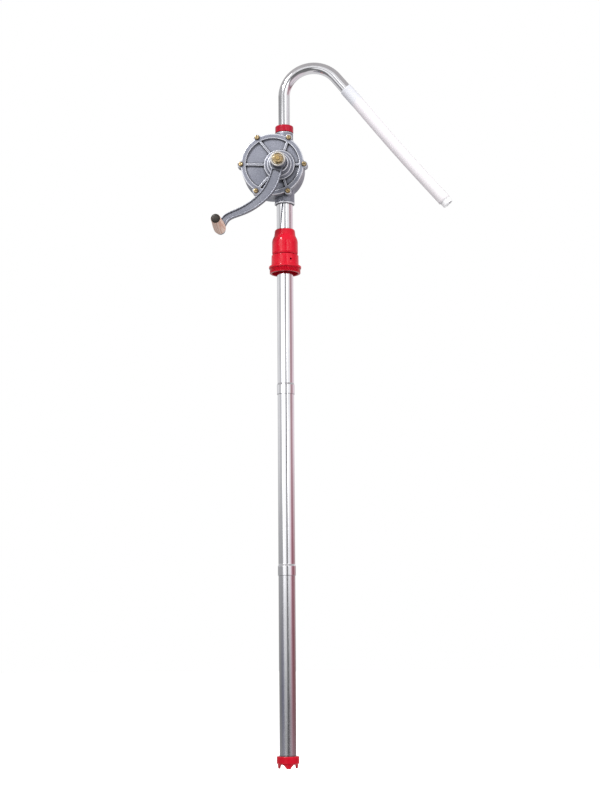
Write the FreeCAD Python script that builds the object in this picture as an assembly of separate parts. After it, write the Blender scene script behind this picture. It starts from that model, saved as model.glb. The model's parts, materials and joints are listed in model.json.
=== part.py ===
import FreeCAD, Part
import math
import os

os.makedirs("parts", exist_ok=True)

V = FreeCAD.Vector

# Hand-cranked drum barrel pump, in millimetres.
# Origin: suction tube axis at the seat of the bung adapter's flange on the drum.
# +Z runs up the suction tube, -Y is the crank side, +X is the way the spout points.

X_AXIS = V(1, 0, 0)
Y_AXIS = V(0, 1, 0)
Z_AXIS = V(0, 0, 1)
FIT = 0.05            # radial running clearance between turning or sliding pieces

# Suction tube, three sections joined by flared sockets
TUBE_R = 16.0
TUBE_BORE_R = 15.0
SOCKET_R = 17.1
SOCKET_BORE_R = TUBE_R + 0.03
SOCKET_LENGTH = 18.0
SOCKET_TAPER = 3.0
UPPER_TUBE_TOP = 148.3
FIRST_SOCKET_TOP = -231.2
SECOND_SOCKET_TOP = -580.2
SUCTION_END = -945.7

# Strainer foot
FOOT_TOP = -934.3
FOOT_BOTTOM = -956.8
FOOT_R = 21.2
FOOT_SHOULDER_R = 19.4
FOOT_TIP_R = 18.6
FOOT_MOUTH_R = 14.6
FOOT_TAPER_TOP = -946.8
FOOT_SEAT = -945.9
FOOT_ARCH_TOP = -948.9
FOOT_ARCH_R = 9.9
FOOT_BAR_WIDTH = 3.0
FOOT_BAR_BOTTOM = -948.7
FOOT_TURN_DEG = 8.0

# Bung adapter, lower piece
FLANGE_R = 31.7
FLANGE_TOP = 4.0
THREAD_R = 30.2
THREAD_BOTTOM = -10.0
SKIRT_BORE_R = 25.6
SKIRT_ROOF = 3.0
BARREL_LOW_R = 26.9
BARREL_TOP_R = 26.5
BARREL_TOP = 25.9
NECK_R = 20.0
NECK_TOP = 46.8
GUIDE_BOTTOM = 25.9
GUIDE_TOP = 40.8
AIR_GAP_R = 17.6
SEAL_SEAT_R = 18.5
VENT_R = 2.0
VENT_ANGLE_DEG = -61.0
VENT_Z = 14.6

# Bung adapter, seal and gland nut
SEAL_R = 18.4
SEAL_TOP = 49.8
GLAND_BOTTOM = 27.1
GLAND_TOP = 77.7
GLAND_R = 25.4
GLAND_FOOT_R = 24.6
GLAND_NECK_LOW_R = 20.9
GLAND_NECK_TOP_R = 19.7
GLAND_TUBE_R = 16.4
GLAND_SHOULDER_LOW = 53.0
GLAND_SHOULDER_TOP = 66.0

# Pump head
HEAD_X = -21.8
HEAD_Z = 203.8
CHAMBER_R = 55.5
DRUM_R = 61.2
HEAD_R = 62.0
CASING_FRONT = -22.0
CASING_FLANGE_BACK = -13.0
CHAMBER_BACK = 20.0
CASING_BACK = 26.0
GASKET_THICKNESS = 0.8
COVER_BACK = CASING_FRONT - GASKET_THICKNESS
EAR_PITCH_R = 62.4
EAR_R = 6.9
EAR_COUNT = 6
EAR_TURN_DEG = -1.3    # the screws are not quite square to the ports
CASING_EAR_BACK = -10.0
SCREW_R = 2.5
SCREW_HOLE_R = 2.55
SCREW_HEAD_R = 4.6
SCREW_HEAD_HEIGHT = 3.4
SCREW_TIP = -15.0
SCREW_SLOT = 1.1

# Casing ports, both on the suction tube axis
INLET_R = 19.4
INLET_LIP_R = 20.1
INLET_LIP_HEIGHT = 3.2
INLET_BOTTOM = 129.0
INLET_PASSAGE_R = 13.5
OUTLET_R = 17.4
OUTLET_SHOULDER = 275.1
OUTLET_THREAD_R = 14.5
OUTLET_TOP = 283.0
OUTLET_PASSAGE_R = 9.5

# Drive shaft axis, off the chamber's centre towards the ports
SHAFT_X = -7.9
SHAFT_Z = 201.6
SHAFT_R = 6.0
BUSH_R = 9.0
REAR_BOSS_R = 13.0
REAR_BOSS_BACK = 34.0
REAR_BUSH_BACK = 31.0
SHAFT_BACK = 30.5

# Front cover
RIM_BORE_R = 53.0
RIM_FRONT = -30.8
PANEL_FRONT = -26.4
RIB_FRONT = -30.6
RIB_WIDTH = 5.2
BOSS_R = 30.0
BOSS_FRONT = -33.6
BOSS_STEP_R = 24.0
BOSS_STEP_FRONT = -37.5
BOSS_NECK_R = 19.0
BOSS_NECK_FRONT = -47.0
FRONT_BUSH_FRONT = -38.0
SEAL_POCKET_R = 11.0
SEAL_POCKET_BACK = -40.0

# Rotor, vanes and springs
ROTOR_R = 41.2
ROTOR_FRONT = COVER_BACK + 0.1
ROTOR_BACK = CHAMBER_BACK - 0.1
VANE_THICKNESS = 4.0
VANE_INNER_R = 9.2
VANE_OUTER_R = 41.0
VANE_END_GAP = 0.2
SPRING_PLACES = (-12.0, 6.0)
SPRING_R = 2.5
SPRING_WIRE_R = 0.45
SPRING_PITCH = 2.5
SPRING_BORE_R = 3.4

# Crank
HUB_R = 15.0
HUB_BACK = -50.0
HUB_FRONT = -72.5
HUB_RECESS_R = 11.4
HUB_RECESS_BACK = -70.5
SQUARE = 8.4
SQUARE_FRONT = -68.0
STUD_R = 4.0
STUD_FRONT = -79.5
WASHER_R = 10.6
WASHER_THICKNESS = 1.5
NUT_FLATS = 17.0
NUT_HEIGHT = 6.0
GRIP_X = -120.0
GRIP_Z = 64.8
EYE_R = 9.5
EYE_BACK = -61.5
EYE_FRONT = -72.0
ARM_THICKNESS = 10.0
ARM_FRONT_AT_HUB = -60.0
ARM_RIM = 2.2
ARM_RECESS = 2.2
# Arm stations from the hub: X offset, Z offset, width
ARM_STATIONS = (
    (-0.8, 2.0, 21.6),
    (-3.5, -19.0, 20.4),
    (-10.0, -41.0, 21.2),
    (-20.0, -60.0, 20.4),
    (-37.8, -79.5, 18.4),
    (-61.5, -96.0, 16.6),
    (-85.1, -106.2, 14.2),
    (-99.1, -113.2, 14.4),
    (-107.1, -123.4, 15.0),
    (-112.1, -136.8, 14.6),
)

# Grip
GRIP_BACK = -72.3
GRIP_FRONT = -147.5
GRIP_R = 11.8
GRIP_END_R = 9.2
GRIP_BOLT_R = 4.0
GRIP_HEAD_R = 8.7
GRIP_HEAD_HEIGHT = 3.2

# Spout
SPOUT_R = 11.3
SPOUT_BORE_R = 10.1
SPOUT_COLLAR_R = 13.8
SPOUT_COLLAR_THICKNESS = 1.5
SPOUT_SEAL_THICKNESS = 1.5
SPOUT_BEND_R = 58.5
SPOUT_BEND_Z = 350.6
SPOUT_BEND_DEG = 140.6
SPOUT_LEG = 66.0

# Outlet nut
OUTLET_NUT_R = 18.0
OUTLET_NUT_BOTTOM = 275.4
OUTLET_NUT_TOP = 289.0
OUTLET_NUT_LIP = 286.1

# Delivery hose and its end nozzle
HOSE_R = 12.7
HOSE_BORE_R = SPOUT_R + FIT
HOSE_OVERLAP = 35.0
HOSE_LENGTH = 301.0
TIP_R = 10.7
TIP_BORE_R = 8.6
TIP_INSERT_R = HOSE_BORE_R
TIP_INSERT_LENGTH = 18.0
TIP_LENGTH = 11.0


def ring_solid(profile, origin=V(0, 0, 0), axis=Z_AXIS):
    """Turn a closed profile of (radius, height) points about an axis through origin."""
    radial = X_AXIS
    points = [origin + radial * r + axis * h for r, h in profile]
    points.append(points[0])
    face = Part.Face(Part.makePolygon(points))
    return face.revolve(origin, axis, 360)


def rod(radius, start, end, x=0.0, z=0.0):
    """Cylinder along Y between two Y values, at X and Z."""
    low = min(start, end)
    return Part.makeCylinder(radius, abs(end - start), V(x, low, z), Y_AXIS)


def post(radius, bottom, top, x=0.0):
    """Cylinder along Z between two heights."""
    return Part.makeCylinder(radius, top - bottom, V(x, 0, bottom), Z_AXIS)


def ear_centres():
    """Screw centres around the pump head, first one towards the spout."""
    centres = []
    for index in range(EAR_COUNT):
        angle = math.radians(EAR_TURN_DEG + index * 360 / EAR_COUNT)
        centres.append((HEAD_X + EAR_PITCH_R * math.cos(angle),
                        HEAD_Z + EAR_PITCH_R * math.sin(angle)))
    return centres


def save(name, shape):
    shape.exportStep("parts/" + name + ".step")


def make_tube(top, socket_top):
    """Tube section with a flared socket at its lower end; the socket takes the next section."""
    end = socket_top - SOCKET_LENGTH
    return ring_solid([
        (TUBE_BORE_R, top),
        (TUBE_R, top),
        (TUBE_R, socket_top + SOCKET_TAPER),
        (SOCKET_R, socket_top),
        (SOCKET_R, end),
        (SOCKET_BORE_R, end),
        (SOCKET_BORE_R, socket_top - 1.0),
        (TUBE_BORE_R, socket_top + 1.0),
    ])


def make_lower_tube():
    top = SECOND_SOCKET_TOP - 1.5
    return ring_solid([(TUBE_BORE_R, top), (TUBE_R, top), (TUBE_R, SUCTION_END), (TUBE_BORE_R, SUCTION_END)])


def make_foot():
    """Push-on strainer cap with four teeth that keep the tube's end off the drum's floor."""
    wall = ring_solid([
        (TUBE_R + 0.03, FOOT_TOP),
        (FOOT_R - 0.8, FOOT_TOP),
        (FOOT_R, FOOT_TOP - 0.8),
        (FOOT_R, FOOT_TAPER_TOP),
        (FOOT_SHOULDER_R, FOOT_TAPER_TOP - 2.7),
        (FOOT_TIP_R, FOOT_BOTTOM),
        (FOOT_MOUTH_R, FOOT_BOTTOM),
        (FOOT_MOUTH_R, FOOT_SEAT),
        (TUBE_R + 0.03, FOOT_SEAT),
    ])
    bar_height = FOOT_SEAT - FOOT_BAR_BOTTOM
    half = FOOT_MOUTH_R + 1.0
    bar = Part.makeBox(2 * half, FOOT_BAR_WIDTH, bar_height, V(-half, -FOOT_BAR_WIDTH / 2, FOOT_BAR_BOTTOM))
    crossbar = bar.copy()
    crossbar.rotate(V(0, 0, 0), Z_AXIS, 90)
    foot = wall.fuse([bar, crossbar])
    centre = V(0, 0, FOOT_ARCH_TOP - FOOT_ARCH_R)
    for index in range(2):
        arch = Part.makeCylinder(FOOT_ARCH_R, 60, centre - X_AXIS * 30, X_AXIS)
        arch.rotate(V(0, 0, 0), Z_AXIS, 45 + 90 * index)
        foot = foot.cut(arch)
    foot.rotate(V(0, 0, 0), Z_AXIS, FOOT_TURN_DEG)
    return foot.removeSplitter()


def make_bung_body():
    """Lower piece: flange, hollow drum thread, guide for the tube and the gland nut's neck."""
    body = ring_solid([
        (TUBE_R + FIT, GUIDE_BOTTOM),
        (TUBE_R + FIT, GUIDE_TOP),
        (SEAL_SEAT_R, NECK_TOP),
        (NECK_R - 0.4, NECK_TOP),
        (NECK_R, NECK_TOP - 0.6),
        (NECK_R, BARREL_TOP),
        (BARREL_TOP_R - 0.8, BARREL_TOP),
        (BARREL_TOP_R, BARREL_TOP - 0.9),
        (BARREL_LOW_R, FLANGE_TOP),
        (FLANGE_R - 0.6, FLANGE_TOP),
        (FLANGE_R, FLANGE_TOP - 0.6),
        (FLANGE_R, 0),
        (THREAD_R, 0),
        (THREAD_R, THREAD_BOTTOM + 1.0),
        (THREAD_R - 1.0, THREAD_BOTTOM),
        (SKIRT_BORE_R, THREAD_BOTTOM),
        (SKIRT_BORE_R, SKIRT_ROOF),
        (AIR_GAP_R, SKIRT_ROOF),
        (AIR_GAP_R, GUIDE_BOTTOM),
    ])
    vent_way = V(math.cos(math.radians(VENT_ANGLE_DEG)), math.sin(math.radians(VENT_ANGLE_DEG)), 0)
    vent = Part.makeCylinder(VENT_R, FLANGE_R, V(0, 0, VENT_Z) + vent_way * (TUBE_R + 0.5), vent_way)
    return body.cut(vent)


def make_bung_seal():
    return ring_solid([
        (TUBE_R + FIT, GUIDE_TOP + 0.4),
        (SEAL_R, NECK_TOP + 0.1),
        (SEAL_R, SEAL_TOP),
        (TUBE_R + FIT, SEAL_TOP),
    ])


def make_gland_nut():
    """Upper piece: screws down on the neck and squeezes the seal on the tube."""
    return ring_solid([
        (NECK_R + 0.08, GLAND_BOTTOM),
        (GLAND_FOOT_R - 0.5, GLAND_BOTTOM),
        (GLAND_FOOT_R, GLAND_BOTTOM + 0.5),
        (GLAND_FOOT_R + 0.2, GLAND_BOTTOM + 2.0),
        (GLAND_R, GLAND_BOTTOM + 3.6),
        (GLAND_R, GLAND_SHOULDER_LOW),
        (GLAND_R - 0.7, GLAND_SHOULDER_LOW + 4.0),
        (GLAND_R - 2.1, GLAND_SHOULDER_LOW + 7.8),
        (GLAND_NECK_LOW_R + 0.7, GLAND_SHOULDER_TOP - 1.8),
        (GLAND_NECK_LOW_R, GLAND_SHOULDER_TOP),
        (GLAND_NECK_TOP_R, GLAND_TOP - 1.6),
        (GLAND_NECK_TOP_R - 0.5, GLAND_TOP - 0.5),
        (GLAND_NECK_TOP_R - 1.3, GLAND_TOP),
        (GLAND_TUBE_R, GLAND_TOP),
        (GLAND_TUBE_R, SEAL_TOP + 0.1),
        (NECK_R + 0.08, SEAL_TOP + 0.1),
    ])


def head_plate(radius, ear_radius, front, back):
    """Round plate with the six screw ears, between two Y values."""
    plate = rod(radius, front, back, HEAD_X, HEAD_Z)
    ears = [rod(ear_radius, front, back, x, z) for x, z in ear_centres()]
    return plate.fuse(ears)


def screw_holes(front, back):
    holes = [rod(SCREW_HOLE_R, front, back, x, z) for x, z in ear_centres()]
    return holes[0].fuse(holes[1:])


def make_casing():
    """Die-cast pump casing: chamber, rear bearing pocket, inlet port below and outlet neck above."""
    drum = rod(DRUM_R, CASING_FRONT, CASING_BACK, HEAD_X, HEAD_Z)
    back_edge = [edge for edge in drum.Edges if edge.BoundBox.YMin > CASING_BACK - 0.01]
    drum = drum.makeFillet(2.5, back_edge)
    flange = rod(HEAD_R, CASING_FRONT, CASING_FLANGE_BACK, HEAD_X, HEAD_Z)
    ears = [rod(EAR_R, CASING_FRONT, CASING_EAR_BACK, x, z) for x, z in ear_centres()]
    rear_boss = rod(REAR_BOSS_R, CHAMBER_BACK, REAR_BOSS_BACK, SHAFT_X, SHAFT_Z)
    inlet = post(INLET_R, INLET_BOTTOM, HEAD_Z - 40)
    inlet_lip = ring_solid([
        (TUBE_R, INLET_BOTTOM),
        (INLET_LIP_R - 0.5, INLET_BOTTOM),
        (INLET_LIP_R, INLET_BOTTOM + 0.5),
        (INLET_LIP_R, INLET_BOTTOM + INLET_LIP_HEIGHT - 0.6),
        (INLET_R - 0.2, INLET_BOTTOM + INLET_LIP_HEIGHT + 0.4),
        (TUBE_R, INLET_BOTTOM + INLET_LIP_HEIGHT + 0.4),
    ])
    outlet = post(OUTLET_R, HEAD_Z + 40, OUTLET_SHOULDER)
    outlet_thread = post(OUTLET_THREAD_R, HEAD_Z + 40, OUTLET_TOP)
    body = drum.fuse([flange, rear_boss, inlet, inlet_lip, outlet, outlet_thread] + ears)
    body = body.cut(rod(CHAMBER_R, CASING_FRONT - 1, CHAMBER_BACK, HEAD_X, HEAD_Z))
    body = body.cut(rod(BUSH_R, CHAMBER_BACK - 1, REAR_BUSH_BACK, SHAFT_X, SHAFT_Z))
    body = body.cut(post(TUBE_R + 0.02, INLET_BOTTOM - 1, UPPER_TUBE_TOP + 0.1))
    body = body.cut(post(INLET_PASSAGE_R, UPPER_TUBE_TOP - 1, HEAD_Z - 30))
    body = body.cut(post(OUTLET_PASSAGE_R, HEAD_Z + 30, OUTLET_TOP + 1))
    body = body.cut(screw_holes(CASING_FRONT - 1, SCREW_TIP + 0.6))
    return body.removeSplitter()


def make_gasket():
    sheet = head_plate(HEAD_R, EAR_R, CASING_FRONT, COVER_BACK)
    sheet = sheet.cut(rod(CHAMBER_R, CASING_FRONT + 1, COVER_BACK - 1, HEAD_X, HEAD_Z))
    return sheet.cut(screw_holes(CASING_FRONT + 1, COVER_BACK - 1)).removeSplitter()


def make_rib(x, z):
    """Rib on the cover from the shaft boss to one ear, with drafted sides."""
    start = V(SHAFT_X, 0, SHAFT_Z)
    way = V(x, 0, z) - start
    length = way.Length
    way.normalize()
    side = Y_AXIS.cross(way)
    half_foot = RIB_WIDTH / 2
    half_top = half_foot - 0.6
    depth_foot = PANEL_FRONT + 1.0
    corners = [
        start + side * half_foot + Y_AXIS * depth_foot,
        start + side * half_top + Y_AXIS * RIB_FRONT,
        start - side * half_top + Y_AXIS * RIB_FRONT,
        start - side * half_foot + Y_AXIS * depth_foot,
    ]
    corners.append(corners[0])
    return Part.Face(Part.makePolygon(corners)).extrude(way * length)


def make_cover():
    """Die-cast front cover: raised rim, recessed panel, six ribs and the stepped shaft boss."""
    disc = rod(HEAD_R, COVER_BACK, RIM_FRONT, HEAD_X, HEAD_Z)
    rim_edge = [edge for edge in disc.Edges if edge.BoundBox.YMax < RIM_FRONT + 0.01]
    disc = disc.makeChamfer(0.9, rim_edge)
    well = Part.makeCone(RIM_BORE_R, RIM_BORE_R - 1.2, PANEL_FRONT - RIM_FRONT,
                         V(HEAD_X, RIM_FRONT, HEAD_Z), Y_AXIS)
    disc = disc.cut(well)
    ears = []
    for x, z in ear_centres():
        ear = rod(EAR_R, COVER_BACK, RIM_FRONT, x, z)
        ear_edge = [edge for edge in ear.Edges if edge.BoundBox.YMax < RIM_FRONT + 0.01]
        ears.append(ear.makeChamfer(0.7, ear_edge))
    ribs = [make_rib(x, z) for x, z in ear_centres()]
    boss = ring_solid([
        (0, -COVER_BACK),
        (BOSS_R + 0.8, -COVER_BACK),
        (BOSS_R + 0.8, -PANEL_FRONT),
        (BOSS_R, -BOSS_FRONT - 0.6),
        (BOSS_R - 0.6, -BOSS_FRONT),
        (BOSS_STEP_R + 2.2, -BOSS_FRONT),
        (BOSS_STEP_R, -BOSS_STEP_FRONT - 0.5),
        (BOSS_STEP_R - 1.2, -BOSS_STEP_FRONT),
        (BOSS_NECK_R + 1.4, -BOSS_STEP_FRONT),
        (BOSS_NECK_R, -BOSS_STEP_FRONT + 1.6),
        (BOSS_NECK_R, -BOSS_NECK_FRONT - 1.0),
        (BOSS_NECK_R - 1.0, -BOSS_NECK_FRONT),
        (0, -BOSS_NECK_FRONT),
    ], V(SHAFT_X, 0, SHAFT_Z), -Y_AXIS)
    cover = disc.fuse(ears + ribs + [boss])
    cover = cover.cut(rod(SHAFT_R + 0.2, COVER_BACK + 1, BOSS_NECK_FRONT - 1, SHAFT_X, SHAFT_Z))
    cover = cover.cut(rod(BUSH_R, COVER_BACK + 1, FRONT_BUSH_FRONT, SHAFT_X, SHAFT_Z))
    cover = cover.cut(rod(SEAL_POCKET_R, SEAL_POCKET_BACK, BOSS_NECK_FRONT - 1, SHAFT_X, SHAFT_Z))
    return cover.cut(screw_holes(COVER_BACK + 1, RIM_FRONT - 1)).removeSplitter()


def make_cover_screws():
    """Six slotted pan-head screws."""
    head_front = RIM_FRONT - SCREW_HEAD_HEIGHT
    screws = []
    for index, (x, z) in enumerate(ear_centres()):
        head = rod(SCREW_HEAD_R, RIM_FRONT, head_front, x, z)
        head_edge = [edge for edge in head.Edges if edge.BoundBox.YMax < head_front + 0.01]
        head = head.makeFillet(1.5, head_edge)
        screw = head.fuse(rod(SCREW_R, RIM_FRONT, SCREW_TIP, x, z)).removeSplitter()
        slot = Part.makeBox(12, 1.4, SCREW_SLOT, V(x - 6, head_front - 0.2, z - SCREW_SLOT / 2))
        slot.rotate(V(x, 0, z), Y_AXIS, 25 + 40 * index)
        screws.append(screw.cut(slot))
    return Part.makeCompound(screws)


def make_bush(front, back):
    bush = rod(BUSH_R, front, back, SHAFT_X, SHAFT_Z)
    return bush.cut(rod(SHAFT_R + FIT, front - 1, back + 1, SHAFT_X, SHAFT_Z))


def make_shaft_seal():
    front = BOSS_NECK_FRONT + 0.4
    back = SEAL_POCKET_BACK - 0.1
    seal = rod(SEAL_POCKET_R - 0.02, front, back, SHAFT_X, SHAFT_Z)
    seal = seal.cut(rod(SHAFT_R + 2.2, front - 1, front + 2.5, SHAFT_X, SHAFT_Z))
    return seal.cut(rod(SHAFT_R + 0.02, front - 1, back + 1, SHAFT_X, SHAFT_Z))


def make_rotor():
    """Rotor with its shaft in one piece: two vane slots, two spring bores, square and stud for the crank."""
    rotor = rod(ROTOR_R, ROTOR_FRONT, ROTOR_BACK, SHAFT_X, SHAFT_Z)
    shaft = rod(SHAFT_R, HUB_BACK - 0.5, SHAFT_BACK, SHAFT_X, SHAFT_Z)
    square = Part.makeBox(SQUARE, HUB_BACK - SQUARE_FRONT, SQUARE,
                          V(SHAFT_X - SQUARE / 2, SQUARE_FRONT, SHAFT_Z - SQUARE / 2))
    stud = rod(STUD_R, SQUARE_FRONT, STUD_FRONT, SHAFT_X, SHAFT_Z)
    rotor = rotor.fuse([shaft, square, stud])
    slot_length = ROTOR_BACK - ROTOR_FRONT + 2
    slot_width = VANE_THICKNESS + 0.1
    for side in (-1, 1):
        near = SHAFT_X + side * (VANE_INNER_R - 0.1)
        far = SHAFT_X + side * (ROTOR_R + 2)
        slot = Part.makeBox(abs(far - near), slot_length, slot_width,
                            V(min(near, far), ROTOR_FRONT - 1, SHAFT_Z - slot_width / 2))
        rotor = rotor.cut(slot)
    for y in SPRING_PLACES:
        bore = Part.makeCylinder(SPRING_BORE_R, 2 * VANE_INNER_R + 1,
                                 V(SHAFT_X - VANE_INNER_R - 0.5, y, SHAFT_Z), X_AXIS)
        rotor = rotor.cut(bore)
    return rotor.removeSplitter()


def make_vanes():
    """Two sliding vanes, held flush with the rotor."""
    length = ROTOR_BACK - ROTOR_FRONT - 2 * VANE_END_GAP
    height = VANE_OUTER_R - VANE_INNER_R
    vanes = []
    for near in (SHAFT_X + VANE_INNER_R, SHAFT_X - VANE_OUTER_R):
        corner = V(near, ROTOR_FRONT + VANE_END_GAP, SHAFT_Z - VANE_THICKNESS / 2)
        vanes.append(Part.makeBox(height, length, VANE_THICKNESS, corner))
    return Part.makeCompound(vanes)


def make_vane_springs():
    """Two coil springs through the rotor that push the vanes apart."""
    reach = VANE_INNER_R - 0.1 - SPRING_WIRE_R
    springs = []
    for y in SPRING_PLACES:
        helix = Part.makeHelix(SPRING_PITCH, 2 * reach, SPRING_R)
        wire_section = Part.Wire(Part.makeCircle(SPRING_WIRE_R, V(SPRING_R, 0, 0), Y_AXIS))
        coil = Part.Wire(helix.Edges).makePipeShell([wire_section], True, True)
        coil.rotate(V(0, 0, 0), Y_AXIS, 90)
        coil.translate(V(SHAFT_X - reach, y, SHAFT_Z))
        springs.append(coil)
    return Part.makeCompound(springs)


def arm_front(z_offset):
    """Y of the arm's front face at a height below the hub: the arm leans out towards the grip."""
    lean = (EYE_FRONT - ARM_FRONT_AT_HUB) / (GRIP_Z - SHAFT_Z)
    return ARM_FRONT_AT_HUB + lean * z_offset


def arm_outline(stations, inset):
    """Closed S-shaped outline through the stations, in the XZ plane through the hub."""
    left = []
    right = []
    count = len(stations)
    for index, (x, z, width) in enumerate(stations):
        before = stations[max(index - 1, 0)]
        after = stations[min(index + 1, count - 1)]
        along = V(after[0] - before[0], 0, after[1] - before[1])
        along.normalize()
        across = Y_AXIS.cross(along)
        centre = V(SHAFT_X + x, 0, SHAFT_Z + z)
        left.append(centre + across * (width / 2 - inset))
        right.append(centre - across * (width / 2 - inset))
    edges = []
    for points in (left, list(reversed(right))):
        curve = Part.BSplineCurve()
        curve.interpolate(points)
        edges.append(curve.toShape())
    edges.append(Part.makeLine(left[-1], right[-1]))
    edges.append(Part.makeLine(right[0], left[0]))
    return Part.Face(Part.Wire(Part.__sortEdges__(edges)))


def arm_layer(stations, inset, front_gap, thickness):
    """Part of the leaning arm between two depths behind its front face."""
    prism = arm_outline(stations, inset)
    prism.translate(V(0, -100, 0))
    prism = prism.extrude(V(0, 100, 0))
    corners = []
    for z_offset in (30.0, -160.0):
        corners.append(V(-200, arm_front(z_offset) + front_gap, SHAFT_Z + z_offset))
    for z_offset in (-160.0, 30.0):
        corners.append(V(-200, arm_front(z_offset) + front_gap + thickness, SHAFT_Z + z_offset))
    corners.append(corners[0])
    slab = Part.Face(Part.makePolygon(corners)).extrude(V(300, 0, 0))
    return prism.common(slab)


def make_crank_arm():
    """Cast S-shaped channel arm with the hub at one end and the grip's eye at the other."""
    arm = arm_layer(ARM_STATIONS, 0.0, 0.0, ARM_THICKNESS)
    recess = arm_layer(ARM_STATIONS[1:-1], ARM_RIM, -1.0, ARM_RECESS + 1.0)
    arm = arm.cut(recess)
    hub = rod(HUB_R, HUB_BACK, HUB_FRONT, SHAFT_X, SHAFT_Z)
    hub_edge = [edge for edge in hub.Edges if edge.BoundBox.YMax < HUB_FRONT + 0.01]
    hub = hub.makeChamfer(1.0, hub_edge)
    eye = rod(EYE_R, EYE_BACK, EYE_FRONT, GRIP_X, GRIP_Z)
    arm = arm.fuse([hub, eye])
    hole = SQUARE + 0.1
    square_hole = Part.makeBox(hole, HUB_BACK - HUB_FRONT + 2, hole,
                               V(SHAFT_X - hole / 2, HUB_FRONT - 1, SHAFT_Z - hole / 2))
    arm = arm.cut(square_hole)
    arm = arm.cut(rod(SHAFT_R + 0.1, HUB_BACK + 1, HUB_BACK - 1, SHAFT_X, SHAFT_Z))
    arm = arm.cut(rod(HUB_RECESS_R, HUB_RECESS_BACK, HUB_FRONT - 1, SHAFT_X, SHAFT_Z))
    arm = arm.cut(rod(GRIP_BOLT_R, EYE_BACK + 1, EYE_FRONT - 1, GRIP_X, GRIP_Z))
    return arm.removeSplitter()


def make_crank_washer():
    washer = rod(WASHER_R, HUB_RECESS_BACK, HUB_RECESS_BACK - WASHER_THICKNESS, SHAFT_X, SHAFT_Z)
    return washer.cut(rod(STUD_R + 0.2, HUB_BACK, STUD_FRONT, SHAFT_X, SHAFT_Z))


def make_crank_nut():
    """Hexagon nut with a chamfered front."""
    back = HUB_RECESS_BACK - WASHER_THICKNESS
    corner_r = NUT_FLATS / 2 / math.cos(math.radians(30))
    corners = []
    for index in range(7):
        angle = math.radians(60 * index + 12)
        corners.append(V(SHAFT_X + corner_r * math.cos(angle), back, SHAFT_Z + corner_r * math.sin(angle)))
    nut = Part.Face(Part.makePolygon(corners)).extrude(V(0, -NUT_HEIGHT, 0))
    crown = ring_solid([
        (0, -back),
        (corner_r + 0.2, -back),
        (corner_r + 0.2, NUT_HEIGHT - back - 1.2),
        (NUT_FLATS / 2 - 0.3, NUT_HEIGHT - back),
        (0, NUT_HEIGHT - back),
    ], V(SHAFT_X, 0, SHAFT_Z), -Y_AXIS)
    nut = nut.common(crown)
    return nut.cut(rod(STUD_R, HUB_BACK, STUD_FRONT - 1, SHAFT_X, SHAFT_Z))


def make_grip():
    """Turned wooden grip, thicker next to the arm."""
    back = -GRIP_BACK
    return ring_solid([
        (GRIP_BOLT_R + FIT, back),
        (GRIP_R - 2.4, back),
        (GRIP_R - 0.8, back + 1.1),
        (GRIP_R - 0.1, back + 3.7),
        (GRIP_R, back + 8.0),
        (GRIP_R, back + 22.0),
        (GRIP_R - 0.5, back + 36.0),
        (GRIP_R - 1.3, back + 50.0),
        (GRIP_END_R + 0.5, back + 64.0),
        (GRIP_END_R, -GRIP_FRONT - 1.6),
        (GRIP_END_R - 0.4, -GRIP_FRONT - 0.4),
        (GRIP_END_R - 0.9, -GRIP_FRONT),
        (GRIP_BOLT_R + FIT, -GRIP_FRONT),
    ], V(GRIP_X, 0, GRIP_Z), -Y_AXIS)


def make_grip_bolt():
    """Round-head bolt that the grip turns on, fixed in the arm's eye."""
    seat = -GRIP_FRONT + 0.3
    return ring_solid([
        (0, -EYE_BACK + 0.5),
        (GRIP_BOLT_R, -EYE_BACK + 0.5),
        (GRIP_BOLT_R, seat),
        (GRIP_HEAD_R, seat),
        (GRIP_HEAD_R, seat + 0.9),
        (GRIP_HEAD_R - 0.8, seat + 1.9),
        (GRIP_HEAD_R - 2.6, seat + 2.8),
        (GRIP_HEAD_R - 5.0, seat + GRIP_HEAD_HEIGHT),
        (0, seat + GRIP_HEAD_HEIGHT),
    ], V(GRIP_X, 0, GRIP_Z), -Y_AXIS)


def spout_way():
    """Direction of the spout's outer leg."""
    angle = math.radians(SPOUT_BEND_DEG - 90)
    return V(math.cos(angle), 0, -math.sin(angle))


def spout_bend_end():
    """Centre of the spout where the bend ends and the outer leg starts."""
    angle = math.radians(SPOUT_BEND_DEG)
    return V(SPOUT_BEND_R - SPOUT_BEND_R * math.cos(angle), 0, SPOUT_BEND_Z + SPOUT_BEND_R * math.sin(angle))


def spout_end():
    return spout_bend_end() + spout_way() * SPOUT_LEG


def hose_start():
    return spout_end() - spout_way() * HOSE_OVERLAP


def spout_core(radius, bottom):
    """Solid rod along the spout's centre line: vertical leg, bend and outer leg."""
    leg = post(radius, bottom, SPOUT_BEND_Z)
    section = Part.Face(Part.Wire(Part.makeCircle(radius, V(0, 0, SPOUT_BEND_Z), Z_AXIS)))
    bend = section.revolve(V(SPOUT_BEND_R, 0, SPOUT_BEND_Z), Y_AXIS, SPOUT_BEND_DEG)
    outer_leg = Part.makeCylinder(radius, SPOUT_LEG, spout_bend_end(), spout_way())
    return leg.fuse([bend, outer_leg])


def make_spout():
    """Bent steel tube with a collar that the outlet nut holds down."""
    bottom = OUTLET_TOP + SPOUT_SEAL_THICKNESS
    collar = post(SPOUT_COLLAR_R, bottom, bottom + SPOUT_COLLAR_THICKNESS)
    outside = spout_core(SPOUT_R, bottom).fuse(collar)
    return outside.cut(spout_core(SPOUT_BORE_R, bottom)).removeSplitter()


def make_outlet_seal():
    top = OUTLET_TOP + SPOUT_SEAL_THICKNESS
    return post(SPOUT_COLLAR_R, OUTLET_TOP, top).cut(post(OUTLET_PASSAGE_R, OUTLET_TOP - 1, top + 1))


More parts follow.
